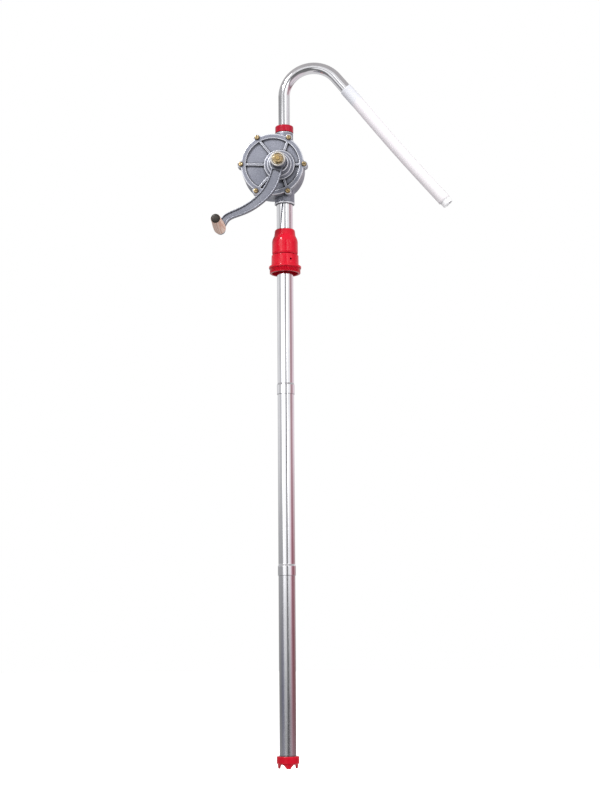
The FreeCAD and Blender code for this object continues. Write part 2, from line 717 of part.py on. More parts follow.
def make_outlet_nut():
    """Ring nut with a lip over the spout's collar."""
    return ring_solid([
        (OUTLET_THREAD_R + 0.08, OUTLET_NUT_BOTTOM),
        (OUTLET_NUT_R - 0.5, OUTLET_NUT_BOTTOM),
        (OUTLET_NUT_R, OUTLET_NUT_BOTTOM + 0.5),
        (OUTLET_NUT_R, OUTLET_NUT_TOP - 2.4),
        (OUTLET_NUT_R - 0.5, OUTLET_NUT_TOP - 0.9),
        (OUTLET_NUT_R - 1.6, OUTLET_NUT_TOP - 0.1),
        (OUTLET_NUT_R - 2.4, OUTLET_NUT_TOP),
        (SPOUT_R + FIT, OUTLET_NUT_TOP),
        (SPOUT_R + FIT, OUTLET_NUT_LIP),
        (OUTLET_THREAD_R + 0.08, OUTLET_NUT_LIP),
    ])


def make_hose():
    """Soft delivery hose, pushed over the spout's end."""
    start = hose_start()
    wall = Part.makeCylinder(HOSE_R, HOSE_LENGTH, start, spout_way())
    return wall.cut(Part.makeCylinder(HOSE_BORE_R, HOSE_LENGTH, start, spout_way()))


def make_hose_tip():
    """End nozzle: a sleeve inside the hose and a narrower visible end."""
    way = spout_way()
    mouth = hose_start() + way * HOSE_LENGTH
    sleeve = Part.makeCylinder(TIP_INSERT_R, TIP_INSERT_LENGTH, mouth - way * TIP_INSERT_LENGTH, way)
    nozzle = Part.makeCylinder(TIP_R, TIP_LENGTH, mouth, way)
    length = TIP_INSERT_LENGTH + TIP_LENGTH
    bore = Part.makeCylinder(TIP_BORE_R, length, mouth - way * TIP_INSERT_LENGTH, way)
    return sleeve.fuse(nozzle).cut(bore)


save("upper_tube", make_tube(UPPER_TUBE_TOP, FIRST_SOCKET_TOP))
save("middle_tube", make_tube(FIRST_SOCKET_TOP - 1.5, SECOND_SOCKET_TOP))
save("lower_tube", make_lower_tube())
save("strainer_foot", make_foot())
save("bung_body", make_bung_body())
save("bung_seal", make_bung_seal())
save("gland_nut", make_gland_nut())
save("pump_casing", make_casing())
save("cover_gasket", make_gasket())
save("front_cover", make_cover())
save("cover_screws", make_cover_screws())
save("front_bush", make_bush(FRONT_BUSH_FRONT, COVER_BACK - 0.2))
save("rear_bush", make_bush(CHAMBER_BACK + 0.2, REAR_BUSH_BACK))
save("shaft_seal", make_shaft_seal())
save("rotor", make_rotor())
save("vanes", make_vanes())
save("vane_springs", make_vane_springs())
save("crank_arm", make_crank_arm())
save("crank_washer", make_crank_washer())
save("crank_nut", make_crank_nut())
save("crank_grip", make_grip())
save("grip_bolt", make_grip_bolt())
save("spout_tube", make_spout())
save("outlet_seal", make_outlet_seal())
save("outlet_nut", make_outlet_nut())
save("spout_hose", make_hose())
save("hose_tip", make_hose_tip())
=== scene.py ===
import bmesh
import bpy
import json
import math
from mathutils import Matrix, Vector, noise


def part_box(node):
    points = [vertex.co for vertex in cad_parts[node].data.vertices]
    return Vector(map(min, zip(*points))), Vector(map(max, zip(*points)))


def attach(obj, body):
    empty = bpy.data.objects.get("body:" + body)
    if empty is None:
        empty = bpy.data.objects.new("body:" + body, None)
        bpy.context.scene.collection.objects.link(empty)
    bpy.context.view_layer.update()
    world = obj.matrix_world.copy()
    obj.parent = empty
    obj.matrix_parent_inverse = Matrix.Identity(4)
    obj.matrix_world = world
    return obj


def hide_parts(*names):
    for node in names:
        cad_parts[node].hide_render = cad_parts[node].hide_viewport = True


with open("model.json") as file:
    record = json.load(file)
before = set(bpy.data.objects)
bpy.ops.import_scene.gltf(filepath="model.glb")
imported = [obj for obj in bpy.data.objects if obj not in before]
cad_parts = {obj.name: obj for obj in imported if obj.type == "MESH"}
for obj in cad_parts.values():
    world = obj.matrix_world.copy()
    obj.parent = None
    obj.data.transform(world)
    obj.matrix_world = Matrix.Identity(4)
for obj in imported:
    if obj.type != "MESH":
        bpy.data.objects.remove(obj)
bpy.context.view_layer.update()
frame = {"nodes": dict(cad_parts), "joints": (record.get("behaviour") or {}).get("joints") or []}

# Shapes are worked out in the CAD's millimetres and turned into metres where a mesh is made
MM = 0.001
X_AXIS = Vector((1, 0, 0))
Y_AXIS = Vector((0, 1, 0))
Z_AXIS = Vector((0, 0, 1))
CENTRE = (0, 0, 0)

# Segments around a turned or swept piece, by its size
FINE_ROUND = 192
ROUND = 128
SMALL_ROUND = 96
TINY_ROUND = 72
DRILL_ROUND = 40

# Edges that bend by more than this many degrees stay sharp
TURNED_SHARP_DEG = 35.0
CAST_SHARP_DEG = 40.0
SWEPT_SHARP_DEG = 60.0

# A profile's corner takes up to this share of the shorter side next to it, and bends smaller than the
# limit (radians) stay as they are. Stretches longer than LONG_STRETCH_MM get a point SUPPORT_MM from
# each end.
CORNER_SHARE = 0.45
SMALLEST_BEND = 0.02
LONG_STRETCH_MM = 4.0
SUPPORT_MM = 0.5

# Fits and sizes that several pieces share
TUBE_R = 16.0           # outside radius of the suction tube
TUBE_BORE_R = 15.0
SLIDE_R = 16.05         # bore that slides on the suction tube
BEND_R = 58.5           # spout: radius of the bend's centre line
BEND_Z = 350.6          # spout: height of the bend's centre
PIPE_R = 11.3           # spout: outside radius
PIPE_WALL = 1.2
HOSE_OVERLAP = 35.0     # the hose covers this much of the spout
HOSE_LENGTH = 301.0
HOSE_WALL = 1.4
PUMP_DROP = 46.0        # the pump slides down almost this far in its adapter

# Where materials change, and the size of the floor, in metres
HUB_FACE_Y = -0.0719    # just behind the machined front of the crank hub
STUD_Y = -0.0725        # the shaft's plated end starts here
SHADOW_REACH = 0.35     # further from the tube's axis than this, the floor is as white as the studio
FLOOR_R = 9.0

# Three tones for the blue-grey casting, dark to light, the tone its edges take from rubbing and a painted
# highlight, and its machined places
CAST_TONES = ((0.205, 0.215, 0.262), (0.240, 0.250, 0.298), (0.280, 0.290, 0.338))
RUBBED_AND_HIGHLIGHT_TONE = (0.76, 0.77, 0.82)
FACED_TONE = (0.56, 0.53, 0.49)
STUD_TONE = (0.40, 0.28, 0.12)
WHITE = (1.0, 1.0, 1.0)

# The studio as polished surfaces see it, in rings from the floor upwards. A panel is (compass direction
# in degrees from the camera side (-Y), positive towards +X; brightness or colour). Two narrow lamps
# stand a little above the camera's height, and the wall on the right is reddish.
GROUND_PANELS = (
    (-180, 0.80), (-112, 0.78), (-98, 0.22), (35, 0.20), (55, (0.80, 0.70, 0.74)), (180, 0.80),
)
SLOPE_PANELS = (
    (-180, 0.80), (-112, 0.80), (-102, 0.28), (-70, 0.28), (-60, 1.15), (-8, 1.15), (0, 0.20), (40, 0.20),
    (55, (0.85, 0.75, 0.79)), (180, 0.80),
)
FLOOR_PANELS = (
    (-180, 0.40), (-90, 0.38), (-60, 0.36), (-25, 0.30), (-4, 0.09), (16, 0.07), (28, (0.36, 0.30, 0.33)),
    (60, (0.42, 0.32, 0.35)), (92, (0.32, 0.22, 0.24)), (180, 0.40),
)
LOW_PANELS = (
    (-180, 0.45), (-125, 0.34), (-96, 0.20), (-77, (0.13, 0.13, 0.19)), (-42, (0.17, 0.17, 0.26)),
    (-28, 0.45), (-12, 0.55), (4, 0.32), (16, 0.07), (28, 0.07), (44, (0.32, 0.27, 0.29)),
    (60, (0.44, 0.27, 0.31)), (76, (0.35, 0.14, 0.16)), (97, (0.23, 0.08, 0.09)),
    (140, (0.28, 0.16, 0.15)), (180, 0.45),
)
MIDDLE_PANELS = (
    (-180, 0.46), (-165, 0.42), (-50, 0.40), (-42, 1.20), (-5, 1.20), (2, 0.26), (18, 0.26), (26, 1.00),
    (46, 1.15), (58, (1.0, 0.75, 0.84)), (77, (0.46, 0.20, 0.24)), (99, (0.30, 0.10, 0.13)),
    (122, (0.57, 0.34, 0.36)), (180, 0.46),
)
HIGH_PANELS = (
    (-180, 0.60), (-126, 0.82), (-98, 0.95), (-88, 0.66), (-66, 0.70), (-54, 1.20), (-44, 3.4), (-22, 3.4),
    (-14, 1.15), (1, 1.15), (6, 0.12), (14, 0.12), (18, 1.10), (22, 3.4), (28, 3.4), (32, 1.15), (60, 1.15),
    (72, (0.58, 0.36, 0.38)), (95, (0.48, 0.31, 0.34)), (113, (0.90, 0.70, 0.75)),
    (140, (1.0, 0.88, 0.92)), (180, 0.60),
)
TOP_PANELS = (
    (-180, 0.45), (-100, 0.30), (-66, 0.33), (-50, 0.56), (-24, 0.58), (-10, 0.30), (4, 0.32), (14, 0.80),
    (20, 1.60), (32, 1.60), (38, 1.15), (62, 1.15), (84, (0.88, 0.84, 0.86)), (120, 0.95), (180, 0.45),
)
UPPER_PANELS = (
    (-180, 0.52), (-60, 0.50), (-35, 0.52), (-15, 1.10), (20, 1.10), (45, 0.60), (180, 0.52),
)
# Each ring takes over from the one below between two heights of the looking direction, which run
# from -1 straight down to 1 straight up
PANEL_RINGS = (
    (-0.92, -0.86, GROUND_PANELS), (-0.56, -0.48, SLOPE_PANELS), (-0.17, -0.13, FLOOR_PANELS),
    (-0.10, -0.045, LOW_PANELS), (-0.03, 0.02, MIDDLE_PANELS), (0.05, 0.12, HIGH_PANELS),
    (0.285, 0.32, TOP_PANELS), (0.345, 0.365, UPPER_PANELS),
)
STRAIGHT_DOWN = (0.80, 0.78, 0.78)
OVERHEAD = (0.53, 0.51, 0.51)
AMBIENT_LOW = (0.50, 0.49, 0.51)
AMBIENT_HIGH = (0.69, 0.69, 0.70)

# ---------------------------------------------------------------- places


def box_mm(node):
    """Lowest and highest corner of a CAD node in millimetres."""
    low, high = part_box(node)
    return low / MM, high / MM


def along_y(node):
    """For a piece turned about Y: a point on its axis in metres, and how far back and front lie
    towards the crank side, in millimetres."""
    low, high = box_mm(node)
    centre = (low + high) / 2
    return Vector((centre.x, 0, centre.z)) * MM, -high.y, -low.y


def spout_end():
    """The end of the spout in metres and the unit vector of its straight outer leg."""
    joint = next(joint for joint in frame["joints"] if joint["name"] == "hose_twist")
    return Vector(joint["pos_m"]), Vector(joint["axis"]).normalized()


def hose_start():
    """The end of the hose that sits on the spout, in metres, and the way the hose runs."""
    end, way = spout_end()
    return end - way * HOSE_OVERLAP * MM, way


# ---------------------------------------------------------------- material helpers


def new_material(name):
    """Empty principled material: the material, its node tree and its shader."""
    material = bpy.data.materials.new(name)
    material.use_nodes = True
    tree = material.node_tree
    tree.nodes.clear()
    output = tree.nodes.new("ShaderNodeOutputMaterial")
    shader = tree.nodes.new("ShaderNodeBsdfPrincipled")
    tree.links.new(shader.outputs["BSDF"], output.inputs["Surface"])
    return material, tree, shader


def position_node(tree, scale=(1, 1, 1)):
    """Object-space position in metres, stretched by scale: every piece shares the row's frame."""
    coords = tree.nodes.new("ShaderNodeTexCoord")
    mapping = tree.nodes.new("ShaderNodeMapping")
    mapping.inputs["Scale"].default_value = scale
    tree.links.new(coords.outputs["Object"], mapping.inputs["Vector"])
    return mapping.outputs["Vector"]


def noise_node(tree, vector, scale, detail=4.0, roughness=0.55):
    """Smooth noise between 0 and 1; scale counts its lumps per metre."""
    node = tree.nodes.new("ShaderNodeTexNoise")
    node.inputs["Scale"].default_value = scale
    node.inputs["Detail"].default_value = detail
    node.inputs["Roughness"].default_value = roughness
    tree.links.new(vector, node.inputs["Vector"])
    return node.outputs["Fac"]


def ramp_node(tree, value, stops):
    """Colour ramp from (position, colour) stops; a bare number stands for a grey."""
    node = tree.nodes.new("ShaderNodeValToRGB")
    ramp = node.color_ramp
    while len(ramp.elements) < len(stops):
        ramp.elements.new(0.5)
    for element, (place, colour) in zip(ramp.elements, stops):
        element.position = place
        grey = isinstance(colour, (int, float))
        element.color = (colour, colour, colour, 1) if grey else (*colour, 1)
    tree.links.new(value, node.inputs["Fac"])
    return node.outputs["Color"]


def bump_node(tree, height, strength, distance, normal=None):
    """Surface normal bent by a height pattern, on top of an earlier one if given."""
    node = tree.nodes.new("ShaderNodeBump")
    node.inputs["Strength"].default_value = strength
    node.inputs["Distance"].default_value = distance
    tree.links.new(height, node.inputs["Height"])
    if normal is not None:
        tree.links.new(normal, node.inputs["Normal"])
    return node.outputs["Normal"]


def cavity_node(tree, distance):
    """How open the surface is to its surroundings: 1 on free faces, towards 0 in tight corners."""
    node = tree.nodes.new("ShaderNodeAmbientOcclusion")
    node.samples = 12
    node.inputs["Distance"].default_value = distance
    return node.outputs["AO"]


def mix_colour(tree, factor, first, second, blend="MIX"):
    """First colour blended towards the second; each of the three may be a value or a node's output."""
    node = tree.nodes.new("ShaderNodeMix")
    node.data_type = "RGBA"
    node.blend_type = blend
    for value, socket in ((factor, node.inputs[0]), (first, node.inputs[6]), (second, node.inputs[7])):
        if hasattr(value, "is_output"):
            tree.links.new(value, socket)
        elif isinstance(value, (int, float)):
            socket.default_value = value
        else:
            socket.default_value = (*value, 1)
    return node.outputs[2]


def beyond(tree, level):
    """1 in front of a Y plane (metres, towards the crank side) and 0 behind it."""
    split = tree.nodes.new("ShaderNodeSeparateXYZ")
    tree.links.new(position_node(tree), split.inputs["Vector"])
    node = tree.nodes.new("ShaderNodeMath")
    node.operation = "LESS_THAN"
    node.inputs[1].default_value = level
    tree.links.new(split.outputs["Y"], node.inputs[0])
    return node.outputs["Value"]


# ---------------------------------------------------------------- materials


def make_cast_aluminium(name, tone, rubbing_and_highlight, faced_y=None):
    """Die-cast alloy: blue-grey satin with a fine grain, with painted shade in its corners and a painted
    shadow under the parts in front of it, and edges brightened by rubbing and a painted highlight.

    Tone darkens the colour, and the third argument sets how bright the edges get. Anything further out than
    faced_y (metres) is a machined face and stays bare and bright.
    """
    material, tree, shader = new_material(name)
    place = position_node(tree)
    cloud = noise_node(tree, place, 28, 5)
    grain = noise_node(tree, place, 900, 3, 0.6)
    pits = noise_node(tree, place, 260, 6, 0.65)
    colour = ramp_node(tree, cloud, tuple(zip((0.3, 0.55, 0.8), CAST_TONES)))
    geometry = tree.nodes.new("ShaderNodeNewGeometry")
    colour = mix_colour(tree, 1.0, colour, (tone, tone, tone), "MULTIPLY")
    # Sharp edges turn brighter: partly rubbed metal, partly a painted highlight along the crests
    rubbed_and_highlit = ramp_node(tree, geometry.outputs["Pointiness"], ((0.503, 0.0), (0.520, rubbing_and_highlight)))
    colour = mix_colour(tree, rubbed_and_highlit, colour, RUBBED_AND_HIGHLIGHT_TONE)
    # Painted shade: darker in tight corners and grooves
    painted_corner_shade = ramp_node(tree, cavity_node(tree, 0.005), ((0.50, 0.02), (0.70, 0.45), (0.90, 1.0)))
    colour = mix_colour(tree, 1.0, colour, painted_corner_shade, "MULTIPLY")
    # Painted shadow: darker where nearby parts, such as the crank arm over the cover, hang in front of the
    # surface
    painted_shadow_nearby = ramp_node(tree, cavity_node(tree, 0.035), ((0.20, 0.12), (0.72, 1.0)))
    colour = mix_colour(tree, 1.0, colour, painted_shadow_nearby, "MULTIPLY")
    if faced_y is not None:
        colour = mix_colour(tree, beyond(tree, faced_y), colour, FACED_TONE)
    tree.links.new(colour, shader.inputs["Base Color"])
    shader.inputs["Metallic"].default_value = 0.50
    rough = ramp_node(tree, pits, ((0.3, 0.34), (0.7, 0.50)))
    tree.links.new(rough, shader.inputs["Roughness"])
    normal = bump_node(tree, pits, 0.22, 0.0004)
    normal = bump_node(tree, grain, 0.15, 0.00015, normal)
    tree.links.new(normal, shader.inputs["Normal"])
    return material


def make_steel(name, base, rough_low, rough_high):
    """Drawn steel tube with long faint marks along its axis."""
    material, tree, shader = new_material(name)
    marks = noise_node(tree, position_node(tree, (1, 1, 0.02)), 900, 3)
    cloud = noise_node(tree, position_node(tree, (1, 1, 0.35)), 40, 4)
    dark = tuple(0.88 * channel for channel in base)
    colour = ramp_node(tree, cloud, ((0.3, dark), (0.7, base)))
    # Painted shade: darker in tight corners, such as under each socket's shoulder
    shadow = ramp_node(tree, cavity_node(tree, 0.005), ((0.45, 0.08), (0.85, 1.0)))
    tree.links.new(mix_colour(tree, 1.0, colour, shadow, "MULTIPLY"), shader.inputs["Base Color"])
    shader.inputs["Metallic"].default_value = 1.0
    rough = ramp_node(tree, marks, ((0.25, rough_low), (0.75, rough_high)))
    tree.links.new(rough, shader.inputs["Roughness"])
    tree.links.new(bump_node(tree, marks, 0.015, 0.00008), shader.inputs["Normal"])
    return material


def make_red_plastic(name, dark, light):
    """Glossy injection-moulded red, with faint flow shading and a slight orange peel."""
    material, tree, shader = new_material(name)
    place = position_node(tree)
    cloud = noise_node(tree, place, 60, 3)
    peel = noise_node(tree, place, 420, 2)
    fine = noise_node(tree, place, 1600, 2)
    base = ramp_node(tree, cloud, ((0.3, dark), (0.7, light)))
    rough = ramp_node(tree, fine, ((0.3, 0.14), (0.7, 0.19)))
    tree.links.new(rough, shader.inputs["Roughness"])
    facing = tree.nodes.new("ShaderNodeLayerWeight")
    facing.inputs["Blend"].default_value = 0.3
    gloss = ramp_node(tree, facing.outputs["Facing"], ((0.0, 0.30), (0.5, 0.24), (0.9, 0.05)))
    tree.links.new(gloss, shader.inputs["Specular IOR Level"])
    # Painted shade: darker in tight corners and recesses
    shadow = ramp_node(tree, cavity_node(tree, 0.004), ((0.3, 0.50), (0.9, 1.0)))
    tree.links.new(mix_colour(tree, 1.0, base, shadow, "MULTIPLY"), shader.inputs["Base Color"])
    tree.links.new(bump_node(tree, peel, 0.03, 0.0002), shader.inputs["Normal"])
    return material


def make_zinc_yellow(name, tones):
    """Yellow-passivated zinc: brassy with greenish and pinkish patches between four tones."""
    material, tree, shader = new_material(name)
    place = position_node(tree)
    tint = noise_node(tree, place, 170, 3)
    fine = noise_node(tree, place, 1500, 2)
    base = ramp_node(tree, tint, tuple(zip((0.30, 0.45, 0.60, 0.75), tones)))
    # Painted shade: darker in tight corners
    shadow = ramp_node(tree, cavity_node(tree, 0.002), ((0.3, 0.35), (0.9, 1.0)))
    tree.links.new(mix_colour(tree, 1.0, base, shadow, "MULTIPLY"), shader.inputs["Base Color"])
    shader.inputs["Metallic"].default_value = 0.95
    rough = ramp_node(tree, fine, ((0.3, 0.20), (0.7, 0.34)))
    tree.links.new(rough, shader.inputs["Roughness"])
    tree.links.new(bump_node(tree, fine, 0.10, 0.0001), shader.inputs["Normal"])
    return material


def make_dark_steel():
    """Black-oxide steel, mottled brown-black and oily."""
    material, tree, shader = new_material("dark_steel")
    place = position_node(tree)
    cloud = noise_node(tree, place, 220, 4)
    fine = noise_node(tree, place, 1400, 2)
    base = ramp_node(tree, cloud, ((0.3, (0.022, 0.020, 0.018)), (0.75, (0.07, 0.060, 0.052))))
    tree.links.new(base, shader.inputs["Base Color"])
    shader.inputs["Metallic"].default_value = 0.6
    rough = ramp_node(tree, fine, ((0.3, 0.36), (0.7, 0.55)))
    tree.links.new(rough, shader.inputs["Roughness"])
    tree.links.new(bump_node(tree, cloud, 0.2, 0.0002), shader.inputs["Normal"])
    return material


def make_wood():
    """Turned pale hardwood with the grain along the grip, thinly varnished."""
    material, tree, shader = new_material("turned_wood")
    warp = noise_node(tree, position_node(tree, (1, 0.25, 1)), 55, 4)
    fibres = noise_node(tree, position_node(tree, (1, 0.035, 1)), 700, 4, 0.7)
    rings = tree.nodes.new("ShaderNodeTexWave")
    rings.wave_type = "RINGS"
    rings.rings_direction = "Y"
    rings.inputs["Scale"].default_value = 90
    rings.inputs["Distortion"].default_value = 5.0
    rings.inputs["Detail"].default_value = 3
    rings.inputs["Detail Scale"].default_value = 1.2
    # The rings' centre lies beside the grip, so that they cross it as long flat arcs
    offset = tree.nodes.new("ShaderNodeMapping")
    offset.inputs["Location"].default_value = (0.103, 0, -0.048)
    offset.inputs["Scale"].default_value = (1, 0.06, 1)
    coords = tree.nodes.new("ShaderNodeTexCoord")
    tree.links.new(coords.outputs["Object"], offset.inputs["Vector"])
    tree.links.new(offset.outputs["Vector"], rings.inputs["Vector"])
    ring_colour = ramp_node(tree, rings.outputs["Fac"], (
        (0.1, (0.74, 0.47, 0.36)), (0.6, (0.88, 0.66, 0.54)), (1.0, (0.92, 0.74, 0.62))))
    fibre_colour = ramp_node(tree, fibres, ((0.35, (0.74, 0.58, 0.50)), (0.65, (1.0, 1.0, 1.0))))
    colour = mix_colour(tree, 0.55, ring_colour, fibre_colour, "MULTIPLY")
    tone = ramp_node(tree, warp, ((0.3, (0.88, 0.86, 0.84)), (0.7, (1.0, 1.0, 1.0))))
    colour = mix_colour(tree, 1.0, colour, tone, "MULTIPLY")
    tree.links.new(colour, shader.inputs["Base Color"])
    rough = ramp_node(tree, fibres, ((0.3, 0.42), (0.7, 0.56)))
    tree.links.new(rough, shader.inputs["Roughness"])
    shader.inputs["Coat Weight"].default_value = 0.15
    shader.inputs["Coat Roughness"].default_value = 0.3
    tree.links.new(bump_node(tree, fibres, 0.25, 0.0002), shader.inputs["Normal"])
    return material


def make_plain(name, tones, rough, scale, bump, metallic=0.0, stud_tone=None):
    """Plain finish: two close tones, mottled, with a matt fine grain.

    With stud_tone, the shaft's threaded end is plated in that tone, like the nut on it.
    """
    material, tree, shader = new_material(name)
    place = position_node(tree)
    cloud = noise_node(tree, place, scale, 4)
    fine = noise_node(tree, place, 1300, 3)
    colour = ramp_node(tree, cloud, tuple(zip((0.3, 0.7), tones)))
    if stud_tone is not None:
        colour = mix_colour(tree, beyond(tree, STUD_Y), colour, stud_tone)
    tree.links.new(colour, shader.inputs["Base Color"])
    shader.inputs["Metallic"].default_value = metallic
    roughness = ramp_node(tree, fine, ((0.3, rough - 0.06), (0.7, rough + 0.06)))
    tree.links.new(roughness, shader.inputs["Roughness"])
    tree.links.new(bump_node(tree, fine, bump, 0.0002), shader.inputs["Normal"])
    return material


def along_node(tree, start, way, length):
    """0 at the start point and 1 at a length (metres) further along a direction."""
    coords = tree.nodes.new("ShaderNodeTexCoord")
    shifted = tree.nodes.new("ShaderNodeVectorMath")
    shifted.operation = "SUBTRACT"
    shifted.inputs[1].default_value = start
    tree.links.new(coords.outputs["Object"], shifted.inputs[0])
    along = tree.nodes.new("ShaderNodeVectorMath")
    along.operation = "DOT_PRODUCT"
    along.inputs[1].default_value = way
    tree.links.new(shifted.outputs["Vector"], along.inputs[0])
    share = tree.nodes.new("ShaderNodeMapRange")
    share.inputs["From Max"].default_value = length
    tree.links.new(along.outputs["Value"], share.inputs["Value"])
    return share.outputs["Result"]


def make_hose_plastic():
    """Soft translucent white hose; the steel inside greys its first stretch."""
    material, tree, shader = new_material("hose_plastic")
    start, way = hose_start()
    pipe_end = HOSE_OVERLAP / HOSE_LENGTH
    base = ramp_node(tree, along_node(tree, start, way, HOSE_LENGTH * MM), (
        (0.0, (0.66, 0.67, 0.71)), (pipe_end * 0.9, (0.71, 0.72, 0.76)),
        (pipe_end * 1.12, (0.81, 0.775, 0.805)), (1.0, (0.82, 0.79, 0.805))))
    cloud = noise_node(tree, position_node(tree), 30, 2)
    tone = ramp_node(tree, cloud, ((0.3, 0.97), (0.7, 1.0)))
    tree.links.new(mix_colour(tree, 1.0, base, tone, "MULTIPLY"), shader.inputs["Base Color"])
    fine = noise_node(tree, position_node(tree), 700, 3)
    tree.links.new(ramp_node(tree, fine, ((0.3, 0.50), (0.7, 0.60))), shader.inputs["Roughness"])
    tree.links.new(bump_node(tree, cloud, 0.08, 0.0004), shader.inputs["Normal"])
    return material


# ---------------------------------------------------------------- mesh helpers


def add_object(name, data):
    """New object with the given data, in the scene."""
    thing = bpy.data.objects.new(name, data)
    bpy.context.scene.collection.objects.link(thing)
    return thing


def add_mesh(name, mesh_data):
    """New object from a bmesh, which is used up."""
    mesh = bpy.data.meshes.new(name)
    mesh_data.to_mesh(mesh)
    mesh_data.free()
    return add_object(name, mesh)


def finish_mesh(name, mesh_data, material, body, node, sharp_deg=TURNED_SHARP_DEG):
    """Object from a bmesh: smooth shading, one material, riding its body, standing for its CAD node."""
    bmesh.ops.recalc_face_normals(mesh_data, faces=mesh_data.faces)
    piece = add_mesh(name, mesh_data)
    piece.data.materials.append(material)
    shade(piece, sharp_deg)
    stand_in(piece, body, node)
    return piece


def stand_in(piece, body, node):
    """The piece moves with its body, in place of its CAD node, which is hidden."""
    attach(piece, body)
    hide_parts(node)


def apply_modifiers(piece):
    """Swap a piece's mesh for the result of its modifiers."""
    evaluated = piece.evaluated_get(bpy.context.evaluated_depsgraph_get())
    final = bpy.data.meshes.new_from_object(evaluated)
    piece.modifiers.clear()
    piece.data = final


def shade(piece, sharp_deg):
    """Smooth shading, except across edges that bend by more than the given angle."""
    mesh = piece.data
    mesh.polygons.foreach_set("use_smooth", [True] * len(mesh.polygons))
    mesh.set_sharp_from_angle(angle=math.radians(sharp_deg))
    mesh.update()


def rounded(points, radius, steps=3):
    """Closed (radius, height) profile with each corner rounded; a point may carry its own radius."""
    out = []
    count = len(points)
    for index in range(count):
        here = Vector(points[index][:2])
        before = Vector(points[index - 1][:2])
        after = Vector(points[(index + 1) % count][:2])
        size = points[index][2] if len(points[index]) > 2 else radius
        back = before - here
        ahead = after - here
        reach = min(back.length, ahead.length) * CORNER_SHARE
        bend = math.pi - back.angle(ahead, math.pi)
        cut = min(size * math.tan(bend / 2), reach) if bend > SMALLEST_BEND else 0
        if cut < 1e-7:
            out.append(here)
            continue
        first = here + back.normalized() * cut
        last = here + ahead.normalized() * cut
        for step in range(steps + 1):
            t = step / steps
            out.append((1 - t) ** 2 * first + 2 * t * (1 - t) * here + t ** 2 * last)
    return with_support(out)


def with_support(points):
    """Add a point near each end of the long stretches, so that their shading stays straight."""
    out = []
    for index, here in enumerate(points):
        after = points[(index + 1) % len(points)]
        out.append(here)
        if (after - here).length > LONG_STRETCH_MM:
            step = (after - here).normalized() * SUPPORT_MM
            out.append(here + step)
            out.append(after - step)
    return out


def frame_axes(axis):
    """Two unit vectors square to an axis, the first as near +X as it can be."""
    axis = Vector(axis).normalized()
    seed = X_AXIS if abs(axis.dot(X_AXIS)) < 0.9 else Z_AXIS
    first = (seed - axis * seed.dot(axis)).normalized()
    return first, axis.cross(first)


def bridge(mesh_data, ring, following):
    """Band of faces between two closed rings with the same number of points."""
    for index in range(len(ring)):
        after = (index + 1) % len(ring)
        mesh_data.faces.new((ring[index], ring[after], following[after], following[index]))


def turned(profile, origin, axis, segments=ROUND, shape=None):
    """Closed ring mesh: the profile (mm) turned about an axis; shape(r, h, angle) may bend each point."""
    first, second = frame_axes(axis)
    axis = Vector(axis).normalized()
    mesh_data = bmesh.new()
    rings = []
    for segment in range(segments):
        angle = 2 * math.pi * segment / segments
        radial = first * math.cos(angle) + second * math.sin(angle)
        ring = []
        for point in profile:
            r, h = shape(point[0], point[1], angle) if shape else (point[0], point[1])
            ring.append(mesh_data.verts.new(Vector(origin) + (radial * r + axis * h) * MM))
        rings.append(ring)
    for segment in range(segments):
        bridge(mesh_data, rings[segment], rings[(segment + 1) % segments])
    return mesh_data


def turned_solid(profile, origin, axis, segments=ROUND):
    """As turned, for an open profile whose first and last points lie on the axis."""
    first, second = frame_axes(axis)
    axis = Vector(axis).normalized()
    mesh_data = bmesh.new()
    start = mesh_data.verts.new(Vector(origin) + axis * profile[0][1] * MM)
    end = mesh_data.verts.new(Vector(origin) + axis * profile[-1][1] * MM)
    inner = profile[1:-1]
    rings = []
    for segment in range(segments):
        angle = 2 * math.pi * segment / segments
        radial = first * math.cos(angle) + second * math.sin(angle)
        points = [Vector(origin) + (radial * r + axis * h) * MM for r, h in inner]
        rings.append([mesh_data.verts.new(point) for point in points])
    for segment in range(segments):
        ring, following = rings[segment], rings[(segment + 1) % segments]
        mesh_data.faces.new((start, ring[0], following[0]))
        mesh_data.faces.new((end, following[-1], ring[-1]))
        for index in range(len(inner) - 1):
            mesh_data.faces.new((ring[index], ring[index + 1], following[index + 1], following[index]))
    return mesh_data


def softened(node, body, material, voxel_mm, passes):
    """A cast or moulded piece: the CAD shape remeshed with its edges slightly rounded."""
    piece = add_object(node + "_cast", frame["nodes"][node].data.copy())
    piece.data.materials.clear()
    weld = piece.modifiers.new("weld", "WELD")
    weld.merge_threshold = 1e-6
    remesh = piece.modifiers.new("remesh", "REMESH")
    remesh.mode = "VOXEL"
    remesh.voxel_size = voxel_mm * MM
    remesh.use_smooth_shade = True
    smooth = piece.modifiers.new("smooth", "SMOOTH")
    smooth.factor = 0.5
    smooth.iterations = passes
    apply_modifiers(piece)
    piece.data.materials.clear()
    piece.data.materials.append(material)
    shade(piece, CAST_SHARP_DEG)
    stand_in(piece, body, node)


def swept(stations, wall_mm, segments, square):
    """Tube mesh through (point, tangent, outer radius mm) stations; square is the bend plane's normal."""
    mesh_data = bmesh.new()
    outer = []
    inner = []
    for point, tangent, radius in stations:
        side = square.cross(tangent).normalized()
        outer.append([])
        inner.append([])
        for segment in range(segments):
            angle = 2 * math.pi * segment / segments
            way = side * math.cos(angle) + square * math.sin(angle)
            outer[-1].append(mesh_data.verts.new(point + way * radius * MM))
            inner[-1].append(mesh_data.verts.new(point + way * (radius - wall_mm) * MM))
    for rings in (outer, inner):
        for ring, following in zip(rings, rings[1:]):
            bridge(mesh_data, ring, following)
    bridge(mesh_data, outer[0], inner[0])
    bridge(mesh_data, outer[-1], inner[-1])
    return mesh_data


